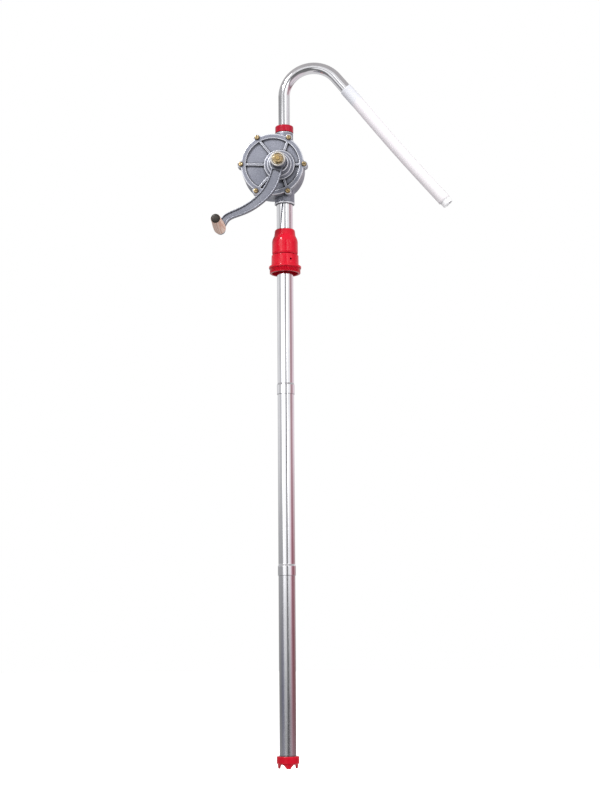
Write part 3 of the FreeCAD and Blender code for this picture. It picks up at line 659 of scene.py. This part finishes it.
def cut_hole(piece, radius_mm, start, way, depth_mm):
    """Bores one round hole into a piece's mesh."""
    profile = [(0, 0), (radius_mm, 0), (radius_mm, depth_mm), (0, depth_mm)]
    drill_data = turned_solid(profile, start, way, DRILL_ROUND)
    bmesh.ops.recalc_face_normals(drill_data, faces=drill_data.faces)
    drill = add_mesh("drill", drill_data)
    bore = piece.modifiers.new("bore", "BOOLEAN")
    bore.operation = "DIFFERENCE"
    bore.solver = "EXACT"
    bore.object = drill
    apply_modifiers(piece)
    bpy.data.objects.remove(drill)
    shade(piece, TURNED_SHARP_DEG)


# ---------------------------------------------------------------- suction tube and foot


def make_suction_tube(steel_upper, steel_lower):
    """Three tube sections; the upper two end in a flared socket that takes the next one."""
    socket_r = 17.1
    socket_bore_r = TUBE_R + 0.06
    socket_length = 18.0
    flare_length = 3.2
    for node, socket, steel in (("upper_tube", True, steel_upper), ("middle_tube", True, steel_upper),
                                ("lower_tube", False, steel_lower)):
        low, high = box_mm(node)
        if socket:
            shoulder = low.z + socket_length
            profile = [(TUBE_BORE_R, high.z), (TUBE_R, high.z), (TUBE_R, shoulder + flare_length, 3),
                       (socket_r, shoulder, 3), (socket_r, low.z, 0.3), (socket_bore_r, low.z, 0.3),
                       (socket_bore_r, shoulder - 1.0), (TUBE_BORE_R, shoulder + 1.0)]
        else:
            profile = [(TUBE_BORE_R, high.z), (TUBE_R, high.z), (TUBE_R, low.z, 0.3),
                       (TUBE_BORE_R, low.z, 0.3)]
        finish_mesh(node + "_skin", turned(rounded(profile, 0.2), CENTRE, Z_AXIS), steel, "pump", node)


def make_strainer_foot(red):
    """Cup with four pointed teeth round its rim and a cross of two bars inside."""
    low, high = box_mm("strainer_foot")
    teeth_turn = math.radians(8)
    wall_r = 21.2
    skirt_r = 19.4
    tip_r = 18.6
    mouth_r = 14.6
    seat = high.z - 11.6
    taper_top = high.z - 12.5
    pivot = high.z - 13.6
    shoulder = high.z - 15.2
    arch_r = 9.9
    arch_centre = high.z - 14.6 - arch_r
    bar_width = 3.0
    bar_height = 2.8

    def shape(r, h, angle):
        """Raise the rim into four arches between the teeth."""
        if h > pivot:
            return r, h
        around = (angle - teeth_turn) % (math.pi / 2) - math.pi / 4
        across = tip_r * math.sin(around)
        arch = arch_centre + math.sqrt(max(arch_r ** 2 - across ** 2, 0))
        bottom = max(low.z, arch) if abs(across) < arch_r else low.z
        return r, pivot + (h - pivot) * (pivot - bottom) / (pivot - low.z)

    outside = []
    outside_steps = 8
    for step in range(outside_steps):
        share = step / outside_steps
        outside.append((skirt_r + (tip_r - skirt_r) * share, shoulder + (low.z - shoulder) * share, 0))
    inside = []
    inside_steps = 5
    for step in range(1, inside_steps + 1):
        inside.append((mouth_r, low.z + (pivot - low.z) * step / inside_steps, 0))
    profile = [(SLIDE_R, high.z, 0.3), (wall_r, high.z, 1.2), (wall_r, taper_top, 1.6)]
    profile += outside
    profile += [(tip_r, low.z, 0.9), (mouth_r, low.z, 0.7)]
    profile += inside
    profile += [(mouth_r, seat, 0), (SLIDE_R, seat, 0)]
    foot = turned(rounded(profile, 0), CENTRE, Z_AXIS, FINE_ROUND, shape)
    middle = Matrix.Translation((0, 0, (seat - bar_height / 2) * MM))
    for index in range(2):
        turn = Matrix.Rotation(teeth_turn + index * math.pi / 2, 4, "Z")
        bar = bmesh.ops.create_cube(foot, size=1.0)
        # The ends reach into the wall, and the second bar is a hair lower so that no faces coincide
        size = Vector((2 * mouth_r + 1.0, bar_width, bar_height - 0.01 * index)) * MM
        bmesh.ops.transform(foot, matrix=middle @ turn @ Matrix.Diagonal((*size, 1)), verts=bar["verts"])
    finish_mesh("strainer_foot_shell", foot, red, "pump", "strainer_foot")


# ---------------------------------------------------------------- bung adapter


def make_bung_body(red):
    """Adapter: threaded skirt, stop flange, barrel with an air vent, and a neck for the gland nut."""
    low, high = box_mm("bung_body")
    thread_r = 30.2
    thread_depth = 1.1
    thread_pitch = 2.31
    thread_start = -0.9
    thread_end = low.z + 0.9
    thread_steps = 36
    lead_in_r = 29.3
    skirt_bore_r = 25.6
    flange_r = 31.7
    flange_top = 4.0
    barrel_foot_r = 26.9
    barrel_r = 26.5
    barrel_top = 25.9
    neck_r = 20.0
    seal_mouth_r = 18.5
    seal_floor = 40.8
    air_gap_r = 17.6
    air_gap_floor = 3.0

    def shape(r, h, angle):
        """Cut the drum thread into the skirt; it fades out at both ends."""
        if r > thread_r - 0.1 and thread_end < h < thread_start:
            wave = 0.5 + 0.5 * math.cos(2 * math.pi * h / thread_pitch - angle)
            fade = min(1.0, h - thread_end, (thread_start - h) / 0.8)
            r -= thread_depth * fade * (1 - wave ** 0.8)
        return r, h

    threads = []
    for step in range(thread_steps + 1):
        threads.append((thread_r, thread_start - (thread_start - thread_end) * step / thread_steps, 0))
    profile = [(SLIDE_R, barrel_top), (SLIDE_R, seal_floor), (seal_mouth_r, high.z, 0.2),
               (neck_r, high.z, 0.5), (neck_r, barrel_top, 0), (barrel_r, barrel_top, 1.0),
               (barrel_foot_r, flange_top, 1.2), (flange_r, flange_top, 0.9), (flange_r, 0, 0.7),
               (thread_r, -0.05, 0)]
    profile += threads
    profile += [(lead_in_r, low.z, 0.3), (skirt_bore_r, low.z, 0.6), (skirt_bore_r, air_gap_floor, 0.5),
                (air_gap_r, air_gap_floor, 0.3), (air_gap_r, barrel_top, 0)]
    body = finish_mesh("bung_body_shell", turned(rounded(profile, 0), CENTRE, Z_AXIS, FINE_ROUND, shape),
                       red, "bung_adapter", "bung_body")

    vent_r = 2.0
    vent_depth = 15.0
    vent_height = 14.6
    vent_angle = math.radians(-61)
    vent_way = Vector((math.cos(vent_angle), math.sin(vent_angle), 0))
    inside_gap = 17.0
    cut_hole(body, vent_r, (vent_way * inside_gap + Z_AXIS * vent_height) * MM, vent_way, vent_depth)


def make_gland_nut(red):
    """Tall round nut with a bulging side, stepping in to a collar round the tube."""
    low, high = box_mm("gland_nut")
    bore_r = 20.1
    collar_bore_r = 16.4
    ceiling = 49.9
    profile = [(bore_r, low.z, 0.3), (24.1, low.z, 0.5), (24.8, 29.1, 1.0), (25.4, 30.7, 1.2),
               (25.4, 53.0, 4.0), (24.7, 57.0, 4.0), (23.3, 60.8, 4.0), (21.6, 64.2, 3.0),
               (20.9, 66.0, 3.0), (19.8, 75.6, 1.5), (18.6, high.z, 1.2), (collar_bore_r, high.z, 0.5),
               (collar_bore_r, ceiling, 0.2), (bore_r, ceiling, 0.2)]
    finish_mesh("gland_nut_shell", turned(rounded(profile, 0.3, 5), CENTRE, Z_AXIS), red,
                "gland_nut", "gland_nut")


def make_bung_seal(rubber):
    """Wedge-shaped rubber ring in the mouth of the adapter's neck."""
    low, high = box_mm("bung_seal")
    seal_r = 18.4
    wedge_height = 5.7
    profile = [(SLIDE_R, low.z), (seal_r, low.z + wedge_height), (seal_r, high.z), (SLIDE_R, high.z)]
    finish_mesh("bung_seal_ring", turned(rounded(profile, 0.5), CENTRE, Z_AXIS), rubber,
                "bung_adapter", "bung_seal")


# ---------------------------------------------------------------- pump head


def make_pump_head(aluminium, zinc):
    """Casing, cover and the cover's six screws."""
    softened("pump_casing", "pump", aluminium, voxel_mm=0.75, passes=4)
    softened("front_cover", "pump", aluminium, voxel_mm=0.6, passes=3)
    softened("cover_screws", "pump", zinc, voxel_mm=0.25, passes=2)


def make_outlet_nut(red):
    """Plain ring nut whose lip holds the spout's collar."""
    low, high = box_mm("outlet_nut")
    nut_r = 18.0
    bore_r = 14.6
    lip_bore_r = 11.4
    lip = high.z - 2.9
    profile = [(bore_r, low.z, 0.3), (nut_r, low.z, 0.6), (nut_r, high.z, 2.2), (lip_bore_r, high.z, 0.5),
               (lip_bore_r, lip, 0.2), (bore_r, lip, 0.2)]
    finish_mesh("outlet_nut_ring", turned(rounded(profile, 0.3, 5), CENTRE, Z_AXIS), red,
                "outlet_nut", "outlet_nut")


# ---------------------------------------------------------------- crank


def make_crank_washer(zinc):
    """Flat plated ring between the hub and the nut."""
    origin, back, front = along_y("crank_washer")
    washer_r = 10.6
    hole_r = 4.2
    profile = [(hole_r, back), (washer_r, back), (washer_r, front), (hole_r, front)]
    finish_mesh("crank_washer_ring", turned(rounded(profile, 0.3), origin, -Y_AXIS, SMALL_ROUND), zinc,
                "crank", "crank_washer")


def make_grip(wood):
    """Turned grip, fullest near the arm and thinner towards its far end."""
    origin, back, front = along_y("crank_grip")
    bore_r = 4.05
    profile = [(bore_r, back, 0.3), (9.4, back, 1.0), (11.2, back + 1.4, 1.6), (11.75, back + 5.0, 5),
               (11.8, back + 13.0, 8), (11.3, back + 30.0, 12), (10.3, back + 49.0, 12),
               (9.5, back + 66.0, 8), (9.2, front, 1.4), (bore_r, front, 0.4)]
    finish_mesh("grip_wood", turned(rounded(profile, 0.3, 6), origin, -Y_AXIS, SMALL_ROUND), wood,
                "grip", "crank_grip")


def make_grip_bolt(dark):
    """Bolt through the grip, with a low domed head on the far end."""
    origin, back, front = along_y("grip_bolt")
    bolt_r = 4.0
    head_r = 8.7
    seat = front - 3.2
    profile = [(0, back), (bolt_r, back), (bolt_r, seat), (head_r, seat), (head_r, seat + 0.8),
               (8.3, seat + 1.6), (7.5, seat + 2.2), (6.2, seat + 2.75), (4.6, seat + 3.05),
               (2.4, seat + 3.18), (0, front)]
    finish_mesh("grip_bolt_round", turned_solid(profile, origin, -Y_AXIS, TINY_ROUND), dark,
                "crank", "grip_bolt")


def make_crank(aluminium, zinc, zinc_gold, dark, wood):
    """Arm, nut and washer, and the grip on its bolt."""
    softened("crank_arm", "crank", aluminium, voxel_mm=0.45, passes=4)
    softened("crank_nut", "crank", zinc, voxel_mm=0.2, passes=2)
    make_crank_washer(zinc_gold)
    make_grip(wood)
    make_grip_bolt(dark)


# ---------------------------------------------------------------- spout, hose and nozzle


def make_spout(steel):
    """Steel pipe: collar under the outlet nut, upright leg, bend and straight outer leg."""
    foot = box_mm("spout_tube")[0].z
    end, way = spout_end()
    collar_r = 13.8
    neck_r = 11.7
    squeeze = 0.12          # the pipe is this much slimmer half-way round the bend
    steps = 72
    stations = []
    for height, radius in ((0, collar_r), (1.4, collar_r), (1.5, neck_r), (2.2, PIPE_R), (3, PIPE_R),
                           (40, PIPE_R)):
        stations.append((Vector((0, 0, foot + height)) * MM, Z_AXIS, radius))
    centre = Vector((BEND_R, 0, BEND_Z)) * MM
    turn = math.pi / 2 + math.atan2(-way.z, way.x)
    for step in range(steps + 1):
        angle = turn * step / steps
        point = centre + BEND_R * MM * Vector((-math.cos(angle), 0, math.sin(angle)))
        tangent = Vector((math.sin(angle), 0, math.cos(angle)))
        stations.append((point, tangent, PIPE_R - squeeze * math.sin(math.pi * step / steps)))
    bend_end = stations[-1][0]
    for share in (0.3, 0.6, 0.9, 1.0):
        stations.append((bend_end.lerp(end, share), way, PIPE_R))
    finish_mesh("spout_pipe", swept(stations, PIPE_WALL, TINY_ROUND, Y_AXIS), steel,
                "spout", "spout_tube", SWEPT_SHARP_DEG)


def hose_radius(along):
    """Outside radius at a distance from the hose's start: tight on the pipe, flared at the mouth."""
    tight_r = 12.8
    slimming = 0.35
    slimming_start = HOSE_OVERLAP - 2
    slimming_length = 9.0
    flare = 0.25
    flare_length = 20
    ripple = 0.08
    ripple_length = 23.0
    past_pipe = min(max((along - slimming_start) / slimming_length, 0), 1)
    near_mouth = max(along - HOSE_LENGTH + flare_length, 0) / flare_length
    waves = noise.noise(Vector((along / ripple_length, 3.1, 0)))
    radius = tight_r - slimming * past_pipe ** 2 * (3 - 2 * past_pipe)
    return radius + flare * near_mouth ** 2 + ripple * waves


def make_hose(plastic):
    """Soft hose with a slight bow, from the spout's end down to the nozzle."""
    start, way = hose_start()
    below = Y_AXIS.cross(way).normalized()
    bow = 2.0
    edge = 0.35
    steps = 90
    stations = []
    for step in range(steps + 1):
        along = HOSE_LENGTH * step / steps
        free = max(along - HOSE_OVERLAP, 0) / (HOSE_LENGTH - HOSE_OVERLAP)
        sag = bow * math.sin(math.pi * free)
        stations.append((start + way * along * MM + below * sag * MM, way, hose_radius(along)))
    first, last = stations[0], stations[-1]
    stations.insert(1, (first[0] + way * edge * MM, way, first[2]))
    stations[0] = (first[0], way, first[2] - edge)
    stations.insert(-1, (last[0] - way * edge * MM, way, last[2]))
    stations[-1] = (last[0], way, last[2] - edge)
    finish_mesh("delivery_hose", swept(stations, HOSE_WALL, TINY_ROUND, Y_AXIS), plastic,
                "hose", "spout_hose", SWEPT_SHARP_DEG)


def make_nozzle(plastic):
    """Hard end piece, plugged into the mouth of the hose."""
    start, way = hose_start()
    mouth = start + way * HOSE_LENGTH * MM
    bore_r = 8.6
    plug_r = 11.0
    plug_depth = 18
    tip_r = 10.7
    tip_length = 11
    profile = [(bore_r, -plug_depth, 0.3), (plug_r, -plug_depth, 0.5), (plug_r, 0, 0.2), (tip_r, 0.3, 0.2),
               (tip_r, tip_length, 0.9), (bore_r, tip_length, 0.5)]
    finish_mesh("hose_nozzle", turned(rounded(profile, 0.3), mouth, way, TINY_ROUND), plastic,
                "hose", "hose_tip")


# ---------------------------------------------------------------- stage


def panel_ring(tree, turn, panels):
    """Colour ramp around the compass."""
    stops = [((degrees + 180) / 360, colour) for degrees, colour in panels]
    return ramp_node(tree, turn.outputs["Result"], stops)


def height_ramp(tree, split, low, high):
    """0 below one height of the looking direction and 1 above another."""
    node = tree.nodes.new("ShaderNodeMapRange")
    node.inputs["From Min"].default_value = low
    node.inputs["From Max"].default_value = high
    tree.links.new(split.outputs["Z"], node.inputs["Value"])
    return node.outputs["Result"]


def make_world():
    """White studio all round; polished surfaces also see the gaps between its light panels."""
    world = bpy.data.worlds.new("studio")
    world.use_nodes = True
    bpy.context.scene.world = world
    tree = world.node_tree
    tree.nodes.clear()
    output = tree.nodes.new("ShaderNodeOutputWorld")
    background = tree.nodes.new("ShaderNodeBackground")
    tree.links.new(background.outputs["Background"], output.inputs["Surface"])
    coords = tree.nodes.new("ShaderNodeTexCoord")
    split = tree.nodes.new("ShaderNodeSeparateXYZ")
    tree.links.new(coords.outputs["Generated"], split.inputs["Vector"])
    forward = tree.nodes.new("ShaderNodeMath")
    forward.operation = "MULTIPLY"
    forward.inputs[1].default_value = -1
    tree.links.new(split.outputs["Y"], forward.inputs[0])
    azimuth = tree.nodes.new("ShaderNodeMath")
    azimuth.operation = "ARCTAN2"
    tree.links.new(split.outputs["X"], azimuth.inputs[0])
    tree.links.new(forward.outputs["Value"], azimuth.inputs[1])
    turn = tree.nodes.new("ShaderNodeMapRange")
    turn.inputs["From Min"].default_value = -math.pi
    turn.inputs["From Max"].default_value = math.pi
    tree.links.new(azimuth.outputs["Value"], turn.inputs["Value"])
    seen_in_gloss = STRAIGHT_DOWN
    for low, high, panels in PANEL_RINGS:
        ring = panel_ring(tree, turn, panels)
        seen_in_gloss = mix_colour(tree, height_ramp(tree, split, low, high), seen_in_gloss, ring)
    seen_in_gloss = mix_colour(tree, height_ramp(tree, split, 0.48, 0.58), seen_in_gloss, OVERHEAD)
    ambient = mix_colour(tree, height_ramp(tree, split, -0.6, 0.7), AMBIENT_LOW, AMBIENT_HIGH)
    rays = tree.nodes.new("ShaderNodeLightPath")
    colour = mix_colour(tree, rays.outputs["Is Glossy Ray"], ambient, seen_in_gloss)
    colour = mix_colour(tree, rays.outputs["Is Camera Ray"], colour, WHITE)
    tree.links.new(colour, background.inputs["Color"])


def make_floor(level):
    """White paper under the foot's lowest position, which keeps a faint shadow near the foot and
    blends into the white background further out."""
    material, tree, shader = new_material("floor_paper")
    fine = noise_node(tree, position_node(tree), 900, 3)
    tree.links.new(ramp_node(tree, fine, ((0.3, (0.93, 0.93, 0.93)), (0.7, (0.95, 0.95, 0.95)))),
                   shader.inputs["Base Color"])
    shader.inputs["Roughness"].default_value = 0.9
    shader.inputs["Emission Color"].default_value = (1, 1, 1, 1)
    distance = tree.nodes.new("ShaderNodeVectorMath")
    distance.operation = "LENGTH"
    tree.links.new(position_node(tree), distance.inputs[0])
    glow = tree.nodes.new("ShaderNodeMapRange")
    glow.inputs["From Min"].default_value = 0.02
    glow.inputs["From Max"].default_value = SHADOW_REACH
    glow.inputs["To Min"].default_value = 0.40
    glow.inputs["To Max"].default_value = 1.0
    tree.links.new(distance.outputs["Value"], glow.inputs["Value"])
    tree.links.new(glow.outputs["Result"], shader.inputs["Emission Strength"])
    disc = bmesh.new()
    bmesh.ops.create_circle(disc, cap_ends=True, segments=SMALL_ROUND, radius=FLOOR_R)
    floor = add_mesh("floor", disc)
    floor.location = (0, 0, level)
    floor.visible_glossy = False
    floor.visible_diffuse = False
    floor.data.materials.append(material)


def make_light(name, place, target, size, power, in_gloss):
    """Round lamp; polished surfaces mirror it only when in_gloss is set."""
    data = bpy.data.lights.new(name, "AREA")
    data.shape = "DISK"
    data.size = size
    data.energy = power
    lamp = add_object(name, data)
    lamp.location = place
    way = Vector(target) - Vector(place)
    lamp.rotation_euler = way.to_track_quat("-Z", "Y").to_euler()
    lamp.visible_glossy = in_gloss


def make_camera():
    """Low beside the tube, a little to the spout's side, tilted up at the pump."""
    aim = Vector((0.0274, 0.0, -0.2605))
    distance = 3.0
    pitch = math.radians(8.5)
    side = math.radians(3.5)
    roll = math.radians(-0.42)
    forward = Vector((-math.sin(side) * math.cos(pitch), math.cos(side) * math.cos(pitch), math.sin(pitch)))
    right = forward.cross(Z_AXIS).normalized()
    up = right.cross(forward)
    rolled_right = right * math.cos(roll) + up * math.sin(roll)
    rolled_up = up * math.cos(roll) - right * math.sin(roll)
    data = bpy.data.cameras.new("camera")
    data.sensor_width = 36
    data.lens = 69.75
    camera = add_object("camera", data)
    turn = Matrix((rolled_right, rolled_up, -forward)).transposed()
    camera.matrix_world = Matrix.Translation(aim - forward * distance) @ turn.to_4x4()
    bpy.context.scene.camera = camera


# ---------------------------------------------------------------- build


aluminium = make_cast_aluminium("cast_aluminium", tone=1.0, rubbing_and_highlight=1.0)
arm_aluminium = make_cast_aluminium("cast_aluminium_arm", tone=0.78, rubbing_and_highlight=0.08, faced_y=HUB_FACE_Y)
steel = make_steel("steel_tube", (0.79, 0.79, 0.82), 0.09, 0.14)
steel_low = make_steel("steel_tube_lower", (0.74, 0.74, 0.77), 0.11, 0.17)
red = make_red_plastic("red_plastic", (0.60, 0.003, 0.018), (0.68, 0.006, 0.026))
# Painted shade: the same red plastic made darker, for the outlet nut at the top
red_painted_shade = make_red_plastic("red_plastic_painted_shade", (0.39, 0.003, 0.020), (0.44, 0.006, 0.028))
zinc = make_zinc_yellow("zinc_yellow", ((0.22, 0.18, 0.10), (0.42, 0.31, 0.16), (0.54, 0.41, 0.23),
                                        (0.34, 0.22, 0.15)))
zinc_gold = make_zinc_yellow("zinc_gold", ((0.62, 0.55, 0.36), (0.80, 0.66, 0.42), (0.85, 0.72, 0.50),
                                           (0.76, 0.58, 0.44)))
dark = make_dark_steel()
wood = make_wood()
rubber = make_plain("black_rubber", ((0.018, 0.018, 0.018), (0.035, 0.035, 0.035)), 0.6, 120, 0.2)
gasket = make_plain("gasket_sheet", ((0.10, 0.09, 0.08), (0.17, 0.16, 0.15)), 0.75, 300, 0.3)
bronze = make_plain("bush_bronze", ((0.52, 0.33, 0.16), (0.62, 0.42, 0.22)), 0.4, 200, 0.2, 1.0)
iron = make_plain("rotor_iron", ((0.24, 0.25, 0.26), (0.34, 0.35, 0.36)), 0.42, 150, 0.2, 0.9, STUD_TONE)
resin = make_plain("vane_resin", ((0.16, 0.13, 0.10), (0.24, 0.20, 0.15)), 0.55, 250, 0.2)
spring = make_plain("spring_steel", ((0.48, 0.48, 0.49), (0.60, 0.60, 0.61)), 0.3, 300, 0.1, 1.0)
nozzle = make_plain("nozzle_plastic", ((0.86, 0.86, 0.87), (0.92, 0.92, 0.92)), 0.38, 80, 0.1)
hose = make_hose_plastic()

# Inner pieces keep their CAD meshes and only get a finish
INNER_FINISHES = {
    "cover_gasket": gasket, "front_bush": bronze, "rear_bush": bronze, "shaft_seal": rubber,
    "rotor": iron, "vanes": resin, "vane_springs": spring, "outlet_seal": rubber,
}
for node, material in INNER_FINISHES.items():
    data = frame["nodes"][node].data
    data.materials.clear()
    data.materials.append(material)

make_suction_tube(steel, steel_low)
make_strainer_foot(red)
make_bung_body(red)
make_gland_nut(red)
make_bung_seal(rubber)
make_pump_head(aluminium, zinc)
make_outlet_nut(red_painted_shade)
make_crank(arm_aluminium, zinc, zinc_gold, dark, wood)
make_spout(steel)
make_hose(hose)
make_nozzle(nozzle)

make_world()
make_floor((box_mm("strainer_foot")[0].z - PUMP_DROP) * MM)
make_light("key", (-1.3, -1.9, 1.9), (0, 0, 0.1), size=0.6, power=60, in_gloss=True)
make_light("fill", (2.0, -1.7, 0.2), (0, 0, 0.0), size=1.2, power=30, in_gloss=False)
make_camera()
bpy.context.scene.view_settings.view_transform = "Standard"
